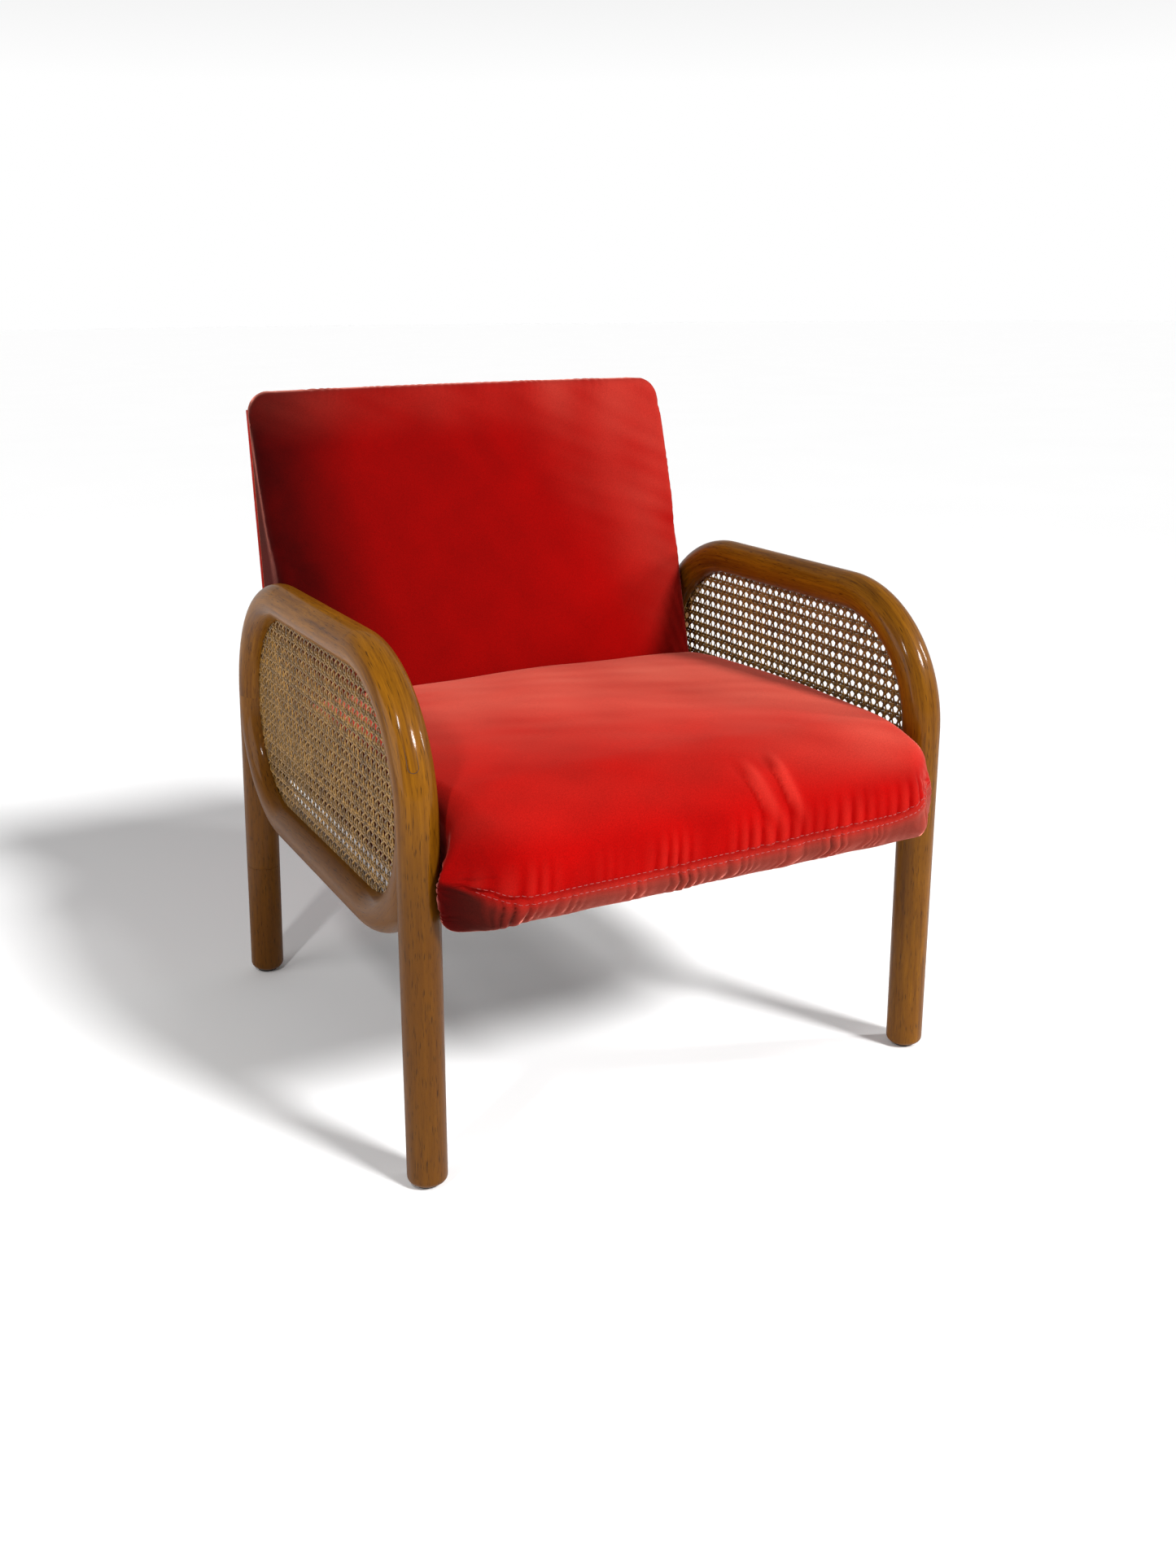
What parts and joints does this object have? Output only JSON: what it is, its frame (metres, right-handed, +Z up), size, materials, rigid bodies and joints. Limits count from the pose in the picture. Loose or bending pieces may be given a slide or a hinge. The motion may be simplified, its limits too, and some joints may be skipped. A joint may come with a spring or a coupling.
{
  "type": "armchair",
  "caption": "Upholstered lounge armchair with bent round-pole side frames, woven cane side panels, and a velvet box seat and raked back",
  "frame": {"origin": "On the floor, under the middle of the chair's bounding box", "axes": "+Z up; the chair faces -Y; +X to the right of someone who looks at its front"},
  "size_m": [0.6296, 0.6528, 0.716],
  "materials": {
    "pole_wood": "stained hardwood pole under satin lacquer",
    "cane": "split rattan peel, natural gloss",
    "reed": "round rattan core, matt",
    "beech": "turned beech, unfinished",
    "glide_nylon": "moulded nylon, matt",
    "pine": "sawn pine, unfinished",
    "plywood": "birch plywood, unfinished",
    "webbing": "woven elastic webbing",
    "felt": "needled felt",
    "foam": "cut polyurethane foam",
    "velvet": "short-pile cotton velvet, soft sheen",
    "cambric": "non-woven cambric, matt",
    "brass": "turned brass",
    "steel": "zinc-plated steel"
  },
  "bodies": {
    "root": {"front_leg_left": "pole_wood", "front_leg_right": "pole_wood", "arm_front_bend_left": "pole_wood", "arm_front_bend_right": "pole_wood", "arm_rest_left": "pole_wood", "arm_rest_right": "pole_wood", "arm_rear_bend_left": "pole_wood", "arm_rear_bend_right": "pole_wood", "rear_upright_left": "pole_wood", "rear_upright_right": "pole_wood", "rear_leg_left": "pole_wood", "rear_leg_right": "pole_wood", "rail_front_bend_left": "pole_wood", "rail_front_bend_right": "pole_wood", "lower_rail_left": "pole_wood", "lower_rail_right": "pole_wood", "rail_rear_bend_left": "pole_wood", "rail_rear_bend_right": "pole_wood", "cane_panel_left": "cane", "cane_panel_right": "cane", "cane_spline_left": "reed", "cane_spline_right": "reed", "frame_dowels_left": "beech", "frame_dowels_right": "beech", "floor_glides": "glide_nylon", "seat_rail_front": "pine", "seat_rail_rear": "pine", "seat_rail_left": "pine", "seat_rail_right": "pine", "corner_blocks": "pine", "seat_webbing": "webbing", "seat_felt": "felt", "seat_foam": "foam", "seat_cover": "velvet", "dust_cover": "cambric", "back_stile_left": "pine", "back_stile_right": "pine", "back_rail_top": "pine", "back_rail_middle": "pine", "back_rail_bottom": "pine", "back_webbing": "webbing", "back_foam": "foam", "back_cover": "velvet", "back_board": "plywood", "back_board_cover": "velvet", "seat_bolts": "steel", "back_bolts": "steel", "bolt_washers": "steel", "threaded_inserts": "brass", "frame_spacers": "beech", "block_screws": "steel", "board_screws": "steel"}
  },
  "joints": []
}
